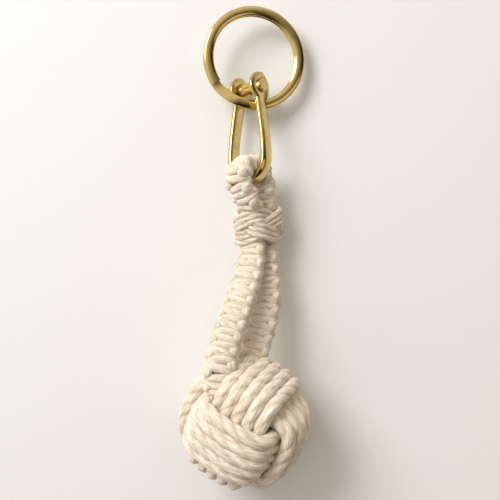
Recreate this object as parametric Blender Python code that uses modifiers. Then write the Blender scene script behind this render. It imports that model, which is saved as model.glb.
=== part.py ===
# Monkey fist key fob: a ball of wound cord on a knotted strap, a brass shackle and a split ring.
# It lies on the plane z = 0 with the ball towards -Y and the ring towards +Y. Lengths are in metres.

import math

import bmesh
import bpy
import numpy as np
from mathutils import Euler, Matrix, Vector

MM = 0.001
OBJECT_NAME = "monkey_fist_knot"
WELD = 0.001 * MM
CLEARANCE = 0.3 * MM            # between two pieces that touch on the real fob

# Fist: three bands of one cord, each wound round the ball at right angles to the last
BALL_RADIUS = 9.2 * MM
CORD_DIAMETER = 2.6 * MM
STRAND_GAP = 0.6 * MM           # between neighbouring turns of a band
CROSSING_GAP = 1.2 * MM         # between a band's inner pass and the band laid over it
TUCK_DEPTH = 1.2 * MM           # the inner passes lie this far above the tucked strands
TURNS = 5
LOOP_POINTS = 24
CORNER_SWELL = 1.3 * MM         # the bands bulge where they change from under to over
CORNER_SHARPNESS = 3.4          # how quickly they change
BAND_CROWN = 0.77               # the outer turns of a band lie lower than its middle turn
CLIMB_SHARE = 0.11              # share of a turn, either side of the step, taken by a climb
FREE_END_SHARE = 0.08           # share of a turn left off at each band's two ends
FIST_SIDE = -1.4 * MM           # the ball's middle lies this far beside the bow's
FIST_AXIS_A = (-0.42, -0.26, 0.87)
FIST_AXIS_B = (0.83, -0.49, 0.26)
FLAT_SHARE = 0.1                # depth of the flat that it rests on, as a share of the cord

# How the cord dips under two strands as it turns from one band into the next.
# Directions from the ball's middle, in the corner's own axes.
TUCK_DIRECTIONS = (
    (-3.8, 9.2, 6.3),
    (-0.8, 9.2, 7.4),
    (1.5, 8.2, 7.5),
    (4.6, 7.3, 6.9),
    (7.3, 4.3, 7.2),
    (7.8, 0.8, 8.1),
    (6.4, -3.3, 9.0),
)

# Shackle: the bow's own axes are x along the pin, y towards the pin, z across the strip
STRIP_THICKNESS = 1.6 * MM
STRIP_WIDTH = 4.1 * MM
STRIP_ROUNDING = 0.35 * MM
STRIP_SWELL = 0.35 * MM         # its outer face is higher in the middle than at its edges
BOW_LENGTH = 28.0 * MM          # pin centre to the middle of the crown
CROWN_HEIGHT = 6.5 * MM
EAR_GAP = 6.0 * MM
EAR_RADIUS = 4.15 * MM
ARM_FLARE = 1.49                # how late the arms spread between ears and crown
STRAP_SIDE_PLAY = 1.3 * MM      # between the strap's edge and the bow's arm
BOW_PLACE = (-0.1 * MM, 19.1 * MM, 12.05 * MM)
BOW_TILT = (-13.8, -39.7, 9.0)

PIN_DIAMETER = 3.9 * MM
PIN_PROUD = 0.9 * MM            # how far its end stands out of the right ear
PIN_CHAMFER = 0.4 * MM
HEAD_DIAMETER = 4.7 * MM
HEAD_THICKNESS = 1.6 * MM
HEAD_STANDOFF = 1.1 * MM        # the pin isn't screwed right home
SLOT_WIDTH = 0.9 * MM
SLOT_DEPTH = 0.7 * MM

# Split ring: one flattened wire wound twice
RING_DIAMETER = 29.9 * MM
RING_WIRE_WIDTH = 2.8 * MM
RING_WIRE_THICKNESS = 1.1 * MM
COIL_GAP = 0.3 * MM
WIRE_SIDES = 10
COIL_POINTS = 40
RAMP_ANGLE = 34.0
RING_FROM_PIN = (2.566 * MM, 8.534 * MM, 0.838 * MM)
RING_TILT = (10.97, 54.5, 0.0)
RING_STEP_ANGLE = 234.5

# Strap: a flat band of square knots, folded over the bow's crown
STRAP_WIDTH = 8.2 * MM
STRAP_THICKNESS = 4.8 * MM
KNOT_PITCH = 3.9 * MM
KNOT_WAIST = 0.88               # width between two knots, as a share of the full width
KNOT_DIP = 0.9                  # and thickness
KNOT_RINGS = 3
KEEPER_SQUEEZE = 0.8            # width inside the keeper, as a share of the full width
KEEPER_PRESS = 0.8              # and thickness
BOW_PLAY = 0.7 * MM             # between the strap's fold and the strip
FOLD_TILT = 8.0
FOLD_SHIFT = 0.3 * MM           # along the pin, from the bow's middle
FOLD_STEPS = 6
FILLER_DIAMETER = 1.8 * MM
FILLER_GAP = 0.4 * MM

# Its two legs from the keeper down to the fist: place across in millimetres, share of the leg's
# length, and height in millimetres. Above the keeper they go on to the fold, in millimetres.
LEG_LENGTH = 53.4 * MM          # from the keeper's middle to the ball's
FRONT_BELOW = ((-8.3, 0.828, 24.5), (-8.1, 0.723, 26.2), (-7.1, 0.618, 24.3), (-5.05, 0.498, 21.0),
               (-2.6, 0.375, 17.2), (-1.0, 0.272, 14.3), (0.5, 0.169, 12.1))
FRONT_ABOVE = ((0.1, 11.7, 13.0), (-0.9, 14.4, 15.1))
BACK_BELOW = ((0.3, 0.770, 15.5), (1.3, 0.678, 14.4), (2.0, 0.616, 13.5), (3.5, 0.513, 11.8),
              (4.6, 0.384, 9.6), (4.6, 0.277, 8.2), (4.5, 0.169, 7.0))
BACK_ABOVE = ((4.2, 11.7, 6.8), (4.4, 14.5, 7.4))
WIDTH_AT_FIST = (1.0, -0.1, 0.0)

# Keeper: a Turk's head of three leads and four bights, followed round twice
KEEPER_PLACE = (2.45, 6.1, 8.9)
KEEPER_AXIS = (-0.07, 0.995, 0.08)
KEEPER_WIDTH_AXIS = (0.95, 0.0, 0.3)
LEG_SIDE_STEP = 2.46 * MM       # the front leg lies this far to the left of the back one
LEG_GAP = 1.1 * MM
LEG_STRAIGHT = 3.9 * MM         # either side of the keeper's middle
KEEPER_CORD = 1.2 * MM
LEAD_COUNT = 3
BIGHT_COUNT = 4
PASS_COUNT = 2
KEEPER_HALF_LENGTH = 3.9 * MM   # to the middle of the two passes
PASS_SPACING = 1.85 * MM
KEEPER_LIFT = 1.1 * MM
KEEPER_CROSSING = 1.5
KEEPER_POINTS = 24              # in each turn round the legs
PASS_CHANGE = 0.25              # radians of the knot's own angle

COTTON = (0.79, 0.72, 0.60)
BRASS = (0.72, 0.57, 0.27)
WOOD = (0.55, 0.40, 0.25)


def clear_scene():
    for item in list(bpy.data.objects):
        bpy.data.objects.remove(item)


def new_collection(name):
    group = bpy.data.collections.new(name)
    bpy.context.scene.collection.children.link(group)
    return group


def make_material(name, colour, roughness, metallic):
    material = bpy.data.materials.new(name)
    material.use_nodes = True
    shader = material.node_tree.nodes["Principled BSDF"]
    shader.inputs["Base Color"].default_value = (*colour, 1.0)
    shader.inputs["Roughness"].default_value = roughness
    shader.inputs["Metallic"].default_value = metallic
    material.diffuse_color = (*colour, 1.0)
    return material


def add_object(name, data, group, parent=None):
    item = bpy.data.objects.new(name, data)
    group.objects.link(item)
    item.parent = parent
    return item


def add_cutter(name, mesh, parent=None):
    item = add_object(name, mesh, CUTTERS, parent)
    item.hide_render = True
    item.display_type = "WIRE"
    return item


def unit(vector):
    vector = np.asarray(vector, float)
    return vector / np.linalg.norm(vector)


def smooth_step(value):
    value = np.clip(value, 0.0, 1.0)
    return value * value * (3.0 - 2.0 * value)


def smooth_curve(points, steps=12):
    """A Catmull-Rom curve through the points, with its ends kept."""
    points = np.asarray(points, float)
    padded = np.vstack([2 * points[0] - points[1], points, 2 * points[-1] - points[-2]])
    share = (np.arange(steps) / steps)[:, None]
    spans = []
    for before, start, end, after in zip(padded, padded[1:], padded[2:], padded[3:]):
        spans.append(0.5 * (2 * start + (end - before) * share
                            + (2 * before - 5 * start + 4 * end - after) * share ** 2
                            + (3 * start - before - 3 * end + after) * share ** 3))
    return np.vstack(spans + [points[-1:]])


def arc_lengths(points):
    steps = np.linalg.norm(np.diff(points, axis=0), axis=1)
    return np.concatenate([[0.0], np.cumsum(steps)])


def sample(points, lengths, places):
    return np.stack([np.interp(places, lengths, points[:, k]) for k in range(points.shape[1])], axis=1)


def least_gap(points, diameter, apart, steps=5):
    """Least gap between stretches of one tube that lie more than apart along it."""
    spans = np.diff(points, axis=0)
    dense = np.concatenate([points[:-1] + spans * k / steps for k in range(steps)])
    lengths = arc_lengths(points)[:-1]
    places = np.concatenate([lengths + np.linalg.norm(spans, axis=1) * k / steps for k in range(steps)])
    least = math.inf
    for place, point in zip(places, dense):
        far = np.abs(places - place) > apart
        if far.any():
            least = min(least, np.linalg.norm(dense[far] - point, axis=1).min())
    return least - diameter


def tube_curve(name, points, diameter, resolution):
    curve = bpy.data.curves.new(name, "CURVE")
    curve.dimensions = "3D"
    curve.bevel_depth = diameter / 2
    curve.bevel_resolution = resolution
    curve.use_fill_caps = True
    spline = curve.splines.new("POLY")
    spline.points.add(len(points) - 1)
    for target, point in zip(spline.points, points):
        target.co = (*point, 1.0)
    return curve


def mesh_from_curve(item, group):
    """Turns a curve object into a mesh object with welded caps."""
    bpy.context.view_layer.update()
    mesh = bpy.data.meshes.new_from_object(item.evaluated_get(bpy.context.evaluated_depsgraph_get()))
    body = bmesh.new()
    body.from_mesh(mesh)
    bmesh.ops.remove_doubles(body, verts=body.verts, dist=WELD)
    bmesh.ops.recalc_face_normals(body, faces=body.faces)
    body.to_mesh(mesh)
    body.free()
    solid = add_object(item.name + "_solid", mesh, group, item.parent)
    solid.matrix_world = item.matrix_world
    name = item.name
    bpy.data.objects.remove(item)
    solid.name = name
    return solid


def loft(name, rings):
    """A closed body through rings of points, with a flat cap at each end."""
    mesh = bpy.data.meshes.new(name)
    body = bmesh.new()
    rows = [[body.verts.new(point) for point in ring] for ring in rings]
    count = len(rows[0])
    for row, following in zip(rows, rows[1:]):
        for k in range(count):
            body.faces.new((row[k], row[(k + 1) % count], following[(k + 1) % count], following[k]))
    body.faces.new(rows[0][::-1])
    body.faces.new(rows[-1])
    bmesh.ops.recalc_face_normals(body, faces=body.faces)
    body.to_mesh(mesh)
    body.free()
    return mesh


def box_mesh(name, size):
    mesh = bpy.data.meshes.new(name)
    body = bmesh.new()
    bmesh.ops.create_cube(body, size=1.0)
    bmesh.ops.scale(body, vec=size, verts=body.verts)
    body.to_mesh(mesh)
    body.free()
    return mesh


def cylinder_mesh(name, radius, depth, segments):
    mesh = bpy.data.meshes.new(name)
    body = bmesh.new()
    bmesh.ops.create_cone(body, cap_ends=True, segments=segments, radius1=radius, radius2=radius,
                          depth=depth)
    body.to_mesh(mesh)
    body.free()
    return mesh


def ball_mesh(name, radius, segments):
    mesh = bpy.data.meshes.new(name)
    body = bmesh.new()
    bmesh.ops.create_uvsphere(body, u_segments=segments, v_segments=segments // 2, radius=radius)
    body.to_mesh(mesh)
    body.free()
    return mesh


def cut(item, cutter, operation="DIFFERENCE"):
    modifier = item.modifiers.new(cutter.name, "BOOLEAN")
    modifier.operation = operation
    modifier.object = cutter


def finish(item, material, angle=40.0):
    item.data.materials.clear()
    item.data.materials.append(material)
    if item.type == "MESH":
        item.data.shade_smooth()
        item.data.set_sharp_from_angle(angle=math.radians(angle))


# Fist

def inner_pass():
    return BALL_RADIUS + CLEARANCE + CORD_DIAMETER / 2 + TUCK_DEPTH


def strand_radius(angle, offset):
    """Distance of a strand from the ball's middle, over at 0 and 180 degrees and under between."""
    inner = inner_pass()
    outer = inner + CORD_DIAMETER + CROSSING_GAP
    turn = math.cos(2 * angle)
    share = math.tanh(CORNER_SHARPNESS * turn) / math.tanh(CORNER_SHARPNESS)
    radius = (outer + inner) / 2 + (outer - inner) / 2 * share + CORNER_SWELL * (1 - turn * turn)
    return math.sqrt(radius ** 2 - BAND_CROWN * offset ** 2)


def band_route(band, start_angle, sense, side):
    """One band's turns: over on the faces across its first axis, under on those of its second."""
    over, under, along = (np.eye(3)[(band + k) % 3] for k in range(3))
    pitch = CORD_DIAMETER + STRAND_GAP
    points = []
    for step in range(LOOP_POINTS * TURNS):
        turn = (step + 0.5) / LOOP_POINTS
        if not FREE_END_SHARE < turn < TURNS - FREE_END_SHARE:
            continue
        place = turn - round(turn)
        climb = smooth_step((place + CLIMB_SHARE) / (2 * CLIMB_SHARE)) - 1
        strand = min(max(round(turn) + climb, 0), TURNS - 1)
        offset = side * pitch * ((TURNS - 1) / 2 - strand)
        angle = math.radians(start_angle) + sense * 2 * math.pi * turn
        radius = strand_radius(angle, offset)
        points.append(radius * (math.cos(angle) * over + math.sin(angle) * under) + offset * along)
    return points


def tucked_route(corner, band):
    """The strand that dips under the corner between a band and the next one."""
    depth = BALL_RADIUS + CLEARANCE + CORD_DIAMETER / 2 + TUCK_DEPTH / 2
    points = []
    for direction in TUCK_DIRECTIONS:
        turned = np.roll(unit(direction), band)
        points.append(turned * corner * depth)
    return points


def fist_route():
    """The whole cord in the ball's own axes, from its first free end to its last."""
    points = band_route(0, -90, -1, 1)
    points += tucked_route(np.array((-1, -1, -1)), 0)
    points += band_route(1, -90, 1, -1)
    points += tucked_route(np.array((1, 1, -1)), 1)
    points += band_route(2, 90, -1, 1)
    return np.array(points)


def fist_turn():
    first = Vector(FIST_AXIS_A).normalized()
    second = Vector(FIST_AXIS_B)
    second = (second - second.dot(first) * first).normalized()
    return Matrix((first, second, first.cross(second))).transposed()


def build_fist(frame):
    """Makes the cord and the ball, and returns the fist's middle and its outer radius."""
    route = fist_route()
    turned = np.array([fist_turn() @ Vector(point) for point in route])
    radius = np.linalg.norm(route, axis=1).max() + CORD_DIAMETER / 2
    cord = add_object("fist_cord", tube_curve("fist_cord", turned, CORD_DIAMETER, 1), PARTS, frame)
    cord = mesh_from_curve(cord, PARTS)
    lowest = min(corner.co.z for corner in cord.data.vertices)
    middle = Vector((FIST_SIDE, below_keeper(1.0), -lowest - FLAT_SHARE * CORD_DIAMETER))
    cord.location = middle
    slab = add_cutter("floor_cut", box_mesh("floor_cut", (3 * radius, 3 * radius, radius)), frame)
    slab.location = (middle.x, middle.y, -radius / 2)
    cut(cord, slab)
    finish(cord, make_material("fist_cotton", COTTON, 0.95, 0.0), 60)
    ball = add_object("core_ball", ball_mesh("core_ball", BALL_RADIUS, 24), PARTS, frame)
    ball.location = middle
    finish(ball, make_material("core_wood", WOOD, 0.7, 0.0))
    print("fist cord: length %.0f mm, outer radius %.2f mm, least gap to itself %.2f mm"
          % (arc_lengths(route)[-1] / MM, radius / MM,
             least_gap(route, CORD_DIAMETER, 3 * CORD_DIAMETER) / MM))
    return middle, radius


# Shackle

def bow_half_width():
    return (STRAP_WIDTH + STRIP_THICKNESS) / 2 + STRAP_SIDE_PLAY


def ear_middle():
    return (EAR_GAP + STRIP_THICKNESS) / 2


def bow_centre_line():
    """Half of the strip's middle line, from the top of the ear to the crown, in the x y plane."""
    points = []
    for degrees in range(12, 180, 14):
        points.append((ear_middle(), -EAR_RADIUS * math.cos(math.radians(degrees))))
    arm_length = BOW_LENGTH - CROWN_HEIGHT
    start = EAR_RADIUS * 1.15
    for down in np.linspace(start, arm_length, 8):
        points.append((ear_middle(), down))
    spread = bow_half_width() - ear_middle()
    points = [(x + spread * math.sin(max(down, 0) / arm_length * math.pi / 2) ** ARM_FLARE, down)
              for x, down in points]
    for degrees in range(10, 91, 10):
        turn = math.radians(degrees)
        points.append((bow_half_width() * math.cos(turn), arm_length + CROWN_HEIGHT * math.sin(turn)))
    return points


def strip_half_width(down):
    """Half the strip's width at a distance below the pin: round at the ear, then plain."""
    ear = math.sqrt(max(EAR_RADIUS ** 2 - down ** 2, 0.0))
    plain = STRIP_WIDTH / 2 if down > 0 else 0.0
    return (ear ** 6 + plain ** 6) ** (1 / 6)


def strip_section(middle, outward, half_width):
    """A rectangle with cut corners and a swelled outer face, across the strip."""
    half = STRIP_THICKNESS / 2
    near = STRIP_ROUNDING
    outside = half - STRIP_SWELL
    corners = [(half, 0), (outside, half_width - near), (outside - near, half_width),
               (near - half, half_width), (-half, half_width - near),
               (-half, near - half_width), (near - half, -half_width),
               (outside - near, -half_width), (outside, near - half_width)]
    return [(middle[0] + outward[0] * a, middle[1] + outward[1] * a, b) for a, b in corners]


def build_bow(axis):
    """The strip, bent round its crown, with a pierced round ear at each end."""
    half = bow_centre_line()
    line = half + [(-x, down) for x, down in half[-2::-1]]
    line = np.array([(x, BOW_LENGTH - down) for x, down in line])
    along = np.gradient(line, axis=0)
    rings = []
    for middle, step in zip(line, along):
        step = unit(step)
        rings.append(strip_section(middle, (step[1], -step[0]), strip_half_width(BOW_LENGTH - middle[1])))
    bow = add_object("shackle_bow", loft("shackle_bow", rings), PARTS, axis)
    hole_length = 2 * (EAR_GAP + STRIP_THICKNESS)
    hole = add_cutter("pin_hole", cylinder_mesh("pin_hole", PIN_DIAMETER / 2 + CLEARANCE, hole_length, 24),
                      axis)
    hole.location = (0, BOW_LENGTH, 0)
    hole.rotation_euler = (0, math.pi / 2, 0)
    cut(bow, hole)
    finish(bow, make_material("bow_brass", BRASS, 0.3, 1.0), 30)


def build_pin(axis):
    """A turned pin: slotted head outside the left ear, plain end through the right one."""
    ear_outside = EAR_GAP / 2 + STRIP_THICKNESS
    tip = ear_outside + PIN_PROUD
    head_inside = -ear_outside - HEAD_STANDOFF
    head_outside = head_inside - HEAD_THICKNESS
    shank = PIN_DIAMETER / 2
    head = HEAD_DIAMETER / 2
    profile = [(0, tip), (shank - PIN_CHAMFER, tip), (shank, tip - PIN_CHAMFER), (shank, head_inside),
               (head, head_inside), (head, head_outside + PIN_CHAMFER),
               (head - PIN_CHAMFER, head_outside), (0, head_outside)]
    mesh = bpy.data.meshes.new("shackle_pin")
    mesh.from_pydata([(radius, 0, place) for radius, place in profile],
                     [(k, k + 1) for k in range(len(profile) - 1)], [])
    pin = add_object("shackle_pin", mesh, PARTS, axis)
    pin.location = (0, BOW_LENGTH, 0)
    pin.rotation_euler = (0, math.pi / 2, 0)
    turned = pin.modifiers.new("turned", "SCREW")
    turned.steps = 24
    turned.render_steps = 24
    turned.use_merge_vertices = True
    turned.merge_threshold = WELD
    slot = add_cutter("pin_slot", box_mesh("pin_slot", (2 * HEAD_DIAMETER, SLOT_WIDTH, 2 * SLOT_DEPTH)), pin)
    slot.location = (0, 0, head_outside)
    slot.rotation_euler = (0, 0, math.radians(35))
    cut(pin, slot)
    finish(pin, make_material("pin_brass", BRASS, 0.3, 1.0), 30)
    return pin


# Split ring

def oval_profile():
    curve = bpy.data.curves.new("wire_section", "CURVE")
    curve.dimensions = "2D"
    curve.fill_mode = "NONE"
    spline = curve.splines.new("POLY")
    spline.points.add(WIRE_SIDES - 1)
    for number, target in enumerate(spline.points):
        turn = 2 * math.pi * (number + 0.5) / WIRE_SIDES
        target.co = (RING_WIRE_WIDTH / 2 * math.cos(turn), RING_WIRE_THICKNESS / 2 * math.sin(turn), 0, 1)
    spline.use_cyclic_u = True
    return add_cutter("wire_section", curve)


def build_split_ring(axis):
    """Two turns of flattened wire with one step between them."""
    centre = add_object("ring_axis", None, PARTS, axis)
    centre.location = Vector((0, BOW_LENGTH, 0)) + Vector(RING_FROM_PIN)
    centre.rotation_euler = Euler([math.radians(angle) for angle in RING_TILT])
    radius = (RING_DIAMETER - RING_WIRE_WIDTH) / 2
    rise = RING_WIRE_THICKNESS + COIL_GAP
    margin = RAMP_ANGLE / 2 + math.degrees(COIL_GAP / radius)
    points = []
    for degrees in np.linspace(margin, 720 - margin, 2 * COIL_POINTS):
        share = smooth_step((degrees - 360 + RAMP_ANGLE / 2) / RAMP_ANGLE)
        turn = math.radians(degrees + RING_STEP_ANGLE)
        points.append((radius * math.cos(turn), radius * math.sin(turn), rise * (share - 0.5)))
    curve = tube_curve("split_ring", points, 0, 0)
    curve.twist_mode = "Z_UP"
    curve.bevel_mode = "OBJECT"
    curve.bevel_object = oval_profile()
    ring = mesh_from_curve(add_object("split_ring", curve, PARTS, centre), PARTS)
    finish(ring, make_material("ring_brass", BRASS, 0.25, 1.0), 50)
    return ring


# Strap

def fold_radius():
    """Radius of the strap's middle where it folds, so that the bow turns clear inside it."""
    return math.hypot(STRIP_WIDTH / 2, STRIP_THICKNESS / 2) + BOW_PLAY + STRAP_THICKNESS / 2


def keeper_frame():
    """The keeper's middle, its axis, and the strap's width and thickness directions there."""
    axis = unit(KEEPER_AXIS)
    width = unit(np.array(KEEPER_WIDTH_AXIS) - np.dot(KEEPER_WIDTH_AXIS, axis) * axis)
    return np.array(KEEPER_PLACE) * MM, axis, width, np.cross(width, axis)


def pressed_thickness():
    """Thickness of one leg inside the keeper."""
    return STRAP_THICKNESS * KEEPER_PRESS


def below_keeper(share):
    """Place along the fob at a share of the leg's length below the keeper."""
    return KEEPER_PLACE[1] * MM - share * LEG_LENGTH


def leg_points(leg):
    return [np.array((across * MM, below_keeper(share), height * MM)) for across, share, height in leg]


def legs_in_keeper(side):
    """Two points of one leg inside the keeper, side 1 for the front leg and -1 for the back one."""
    middle, axis, width, up = keeper_frame()
    stack = (pressed_thickness() + LEG_GAP) / 2
    centre = middle + side * (up * stack - width * LEG_SIDE_STEP / 2)
    return [centre - axis * LEG_STRAIGHT, centre + axis * LEG_STRAIGHT]


def fold_points(bow_matrix):
    """Half a turn round the crown, from the front leg to the back one."""
    tilt = math.radians(FOLD_TILT)
    points = []
    for step in range(FOLD_STEPS + 1):
        turn = math.pi * step / FOLD_STEPS - tilt
        local = Vector((FOLD_SHIFT, fold_radius() * math.sin(turn), fold_radius() * math.cos(turn)))
        points.append(np.array(bow_matrix @ local))
    return points


def strap_route(bow_matrix):
    """Middle line and width direction of the whole strap, from the fist and back to it."""
    below = [leg_points(FRONT_BELOW), leg_points(BACK_BELOW)]
    above = [np.array(FRONT_ABOVE) * MM, np.array(BACK_ABOVE) * MM]
    fold = fold_points(bow_matrix)
    points = np.vstack([below[0], legs_in_keeper(1), above[0], fold,
                        above[1][::-1], legs_in_keeper(-1)[::-1], below[1][::-1]])
    at_fist = unit(WIDTH_AT_FIST)
    at_keeper = keeper_frame()[2]
    at_fold = unit(np.array(bow_matrix.to_3x3() @ Vector((1, 0, 0))))

    def leg_widths(lower, upper):
        shares = [k / lower for k in range(lower)] + [1.0, 1.0]
        widths = [at_fist * (1 - share) + at_keeper * share for share in shares]
        return widths + [(at_keeper + at_fold) / 2] + [at_fold] * (upper - 1)

    front = leg_widths(len(below[0]), len(above[0]))
    back = leg_widths(len(below[1]), len(above[1]))
    widths = np.array(front + [at_fold] * len(fold) + back[::-1])
    return smooth_curve(points), smooth_curve(widths)


def strap_stations(line, widths, places):
    """Middle, width direction and thickness direction at each place along the strap."""
    lengths = arc_lengths(line)
    small = KNOT_PITCH / 8
    middles = sample(line, lengths, places)
    ahead = sample(line, lengths, places + small) - sample(line, lengths, places - small)
    across = sample(widths, lengths, places)
    stations = []
    for middle, along, width in zip(middles, ahead, across):
        along = unit(along)
        width = unit(width - np.dot(width, along) * along)
        stations.append((middle, width, np.cross(width, along)))
    return stations


def flat_oval(station, half_width, half_height, steps):
    """A ring with half-round edges and flat faces."""
    middle, width, up = station
    flat = half_width - half_height
    ring = []
    for side in (1, -1):
        for k in range(steps + 1):
            turn = math.radians(-90 + 180 * k / steps)
            ring.append(middle + side * (width * (flat + half_height * math.cos(turn))
                                         + up * half_height * math.sin(turn)))
        ring.append(middle + side * up * half_height)
    return ring


def squeeze(middle, least):
    """Share of the full width or thickness: the least inside the keeper, and all of it away from there."""
    place, axis = keeper_frame()[:2]
    distance = abs(np.dot(middle - place, axis))
    inside = KEEPER_HALF_LENGTH + PASS_SPACING
    return least + (1 - least) * smooth_step((distance - inside) / (2 * inside))


def strap_rings(line, widths, places):
    rings = []
    for number, station in enumerate(strap_stations(line, widths, places)):
        waist = number % KNOT_RINGS == 0
        half_width = STRAP_WIDTH / 2 * squeeze(station[0], KEEPER_SQUEEZE) * (KNOT_WAIST if waist else 1)
        half_height = STRAP_THICKNESS / 2 * squeeze(station[0], KEEPER_PRESS) * (KNOT_DIP if waist else 1)
        rings.append(flat_oval(station, half_width, half_height, 4))
    return rings


def build_strap(frame, bow_matrix, fist_middle, fist_radius):
    """The knotted strap, hollow for its two filler cords, and cut off where it meets the fist."""
    line, widths = strap_route(bow_matrix)
    total = arc_lengths(line)[-1]
    knots = round(total / KNOT_PITCH)
    places = np.linspace(0, total, knots * KNOT_RINGS + 1)
    strap = add_object("knotted_strap", loft("knotted_strap", strap_rings(line, widths, places)), PARTS,
                       frame)
    bore_places = np.linspace(0, total, knots + 1)
    stations = strap_stations(line, widths, bore_places)
    bore_height = (FILLER_DIAMETER / 2 + CLEARANCE) / math.cos(math.pi / 8)
    bore_width = (FILLER_DIAMETER + FILLER_GAP) / 2 + bore_height
    rings = [flat_oval(station, bore_width, bore_height, 4) for station in stations]
    bore = add_cutter("strap_bore", loft("strap_bore", rings), frame)
    cut(strap, bore)
    keep_out = fist_radius + CLEARANCE
    ball = add_cutter("strap_end_cut", ball_mesh("strap_end_cut", keep_out, 48), frame)
    ball.location = fist_middle
    cut(strap, ball)
    finish(strap, make_material("strap_cotton", COTTON, 0.95, 0.0), 60)
    for name, side in (("filler_cord_left", -1), ("filler_cord_right", 1)):
        shift = side * (FILLER_DIAMETER + FILLER_GAP) / 2
        middles = [middle + width * shift for middle, width, up in stations]
        outside = [point for point in middles
                   if np.linalg.norm(point - np.array(fist_middle)) > keep_out + FILLER_DIAMETER / 2]
        filler = add_object(name, tube_curve(name, outside, FILLER_DIAMETER, 2), PARTS, frame)
        filler = mesh_from_curve(filler, PARTS)
        finish(filler, make_material(name, COTTON, 0.95, 0.0), 60)
        print("%s: length %.0f mm" % (name, arc_lengths(np.array(outside))[-1] / MM))
    print("strap: length %.0f mm, %d knots" % (total / MM, knots))


# Keeper

def keeper_outline():
    """Closed line round both legs in the keeper's cross-section, at the height of its middle layer."""
    half_width = STRAP_WIDTH / 2 * KEEPER_SQUEEZE
    flat = half_width - pressed_thickness() / 2
    stack = (pressed_thickness() + LEG_GAP) / 2
    side = LEG_SIDE_STEP / 2
    corners = [(flat - side, stack), (-flat - side, stack), (side - flat, -stack), (side + flat, -stack)]
    offset = pressed_thickness() / 2 + CLEARANCE + KEEPER_CORD / 2 + KEEPER_LIFT
    points = []
    normals = []
    for k, corner in enumerate(corners):
        before = np.subtract(corner, corners[k - 1])
        after = np.subtract(corners[(k + 1) % 4], corner)
        start = math.atan2(before[1], before[0]) - math.pi / 2
        turn = (math.atan2(after[1], after[0]) - math.pi / 2 - start) % (2 * math.pi)
        for angle in np.linspace(start, start + turn, 24):
            normals.append((math.cos(angle), math.sin(angle)))
            points.append(np.add(corner, offset * np.array(normals[-1])))
    points.append(points[0])
    normals.append(normals[0])
    return np.array(points), np.array(normals)


def keeper_route():
    """A Turk's head wound twice: the second pass lies beside the first."""
    outline, normals = keeper_outline()
    lengths = arc_lengths(outline)
    around = lengths[-1]
    middle, axis, width, up = keeper_frame()
    total = 2 * math.pi * PASS_COUNT
    count = LEAD_COUNT * PASS_COUNT * KEEPER_POINTS
    points = []
    for turn in np.linspace(PASS_CHANGE, total - PASS_CHANGE, count):
        share = smooth_step((turn - 2 * math.pi + PASS_CHANGE) / (2 * PASS_CHANGE))
        aside = PASS_SPACING * (share - 0.5)
        place = around * LEAD_COUNT * turn / (2 * math.pi)
        along = KEEPER_HALF_LENGTH * math.cos(BIGHT_COUNT * turn)
        run = around * LEAD_COUNT / (2 * math.pi)
        climb = -KEEPER_HALF_LENGTH * BIGHT_COUNT * math.sin(BIGHT_COUNT * turn)
        slope = math.hypot(run, climb)
        place -= aside * climb / slope
        along += aside * run / slope
        wave = KEEPER_CROSSING * math.sin(2 * BIGHT_COUNT * turn)
        lift = KEEPER_LIFT * math.tanh(wave) / math.tanh(KEEPER_CROSSING)
        flat = sample(outline, lengths, np.array([place % around]))[0]
        normal = unit(sample(normals, lengths, np.array([place % around]))[0])
        flat = flat + normal * lift
        points.append(middle + width * flat[0] + up * flat[1] + axis * along)
    return np.array(points)


def build_keeper(frame):
    route = keeper_route()
    keeper = add_object("keeper_knot", tube_curve("keeper_knot", route, KEEPER_CORD, 1), PARTS, frame)
    keeper = mesh_from_curve(keeper, PARTS)
    finish(keeper, make_material("keeper_cotton", COTTON, 0.95, 0.0), 60)
    print("keeper cord: length %.0f mm, least gap to itself %.2f mm"
          % (arc_lengths(route)[-1] / MM, least_gap(route, KEEPER_CORD, 3 * KEEPER_CORD) / MM))


def stand_on_origin(frame):
    """Moves the whole fob so that the middle of its footprint is the origin."""
    bpy.context.view_layer.update()
    graph = bpy.context.evaluated_depsgraph_get()
    corners = []
    for item in PARTS.objects:
        if item.type == "MESH":
            solid = item.evaluated_get(graph)
            corners += [solid.matrix_world @ corner.co for corner in solid.data.vertices]
    corners = np.array(corners)
    low, high = corners.min(axis=0), corners.max(axis=0)
    frame.location = (-(low[0] + high[0]) / 2, -(low[1] + high[1]) / 2, 0)
    bpy.context.view_layer.update()
    print("size %.1f x %.1f x %.1f mm, lowest %.3f" % (*((high - low) / MM), low[2] / MM))


def report_axes(items):
    for item in items:
        turn = item.matrix_world.to_3x3().normalized()
        place = item.matrix_world.translation
        print(item.name, "at", [round(value, 6) for value in place],
              "x", [round(value, 5) for value in turn.col[0]],
              "z", [round(value, 5) for value in turn.col[2]])


clear_scene()
PARTS = new_collection(OBJECT_NAME)
CUTTERS = new_collection("cutters")

FRAME = add_object("fob", None, PARTS)
BOW_AXIS = add_object("bow_axis", None, PARTS, FRAME)
BOW_AXIS.location = BOW_PLACE
BOW_AXIS.rotation_euler = Euler([math.radians(angle) for angle in BOW_TILT])
bpy.context.view_layer.update()
FIST_MIDDLE, FIST_RADIUS = build_fist(FRAME)
build_strap(FRAME, BOW_AXIS.matrix_world.copy(), FIST_MIDDLE, FIST_RADIUS)
build_keeper(FRAME)
build_bow(BOW_AXIS)
PIN = build_pin(BOW_AXIS)
RING = build_split_ring(BOW_AXIS)
stand_on_origin(FRAME)
report_axes([BOW_AXIS, PIN, RING])
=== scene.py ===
import math

import bmesh
import bpy
import numpy as np
from mathutils import Euler, Matrix, Vector


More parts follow.
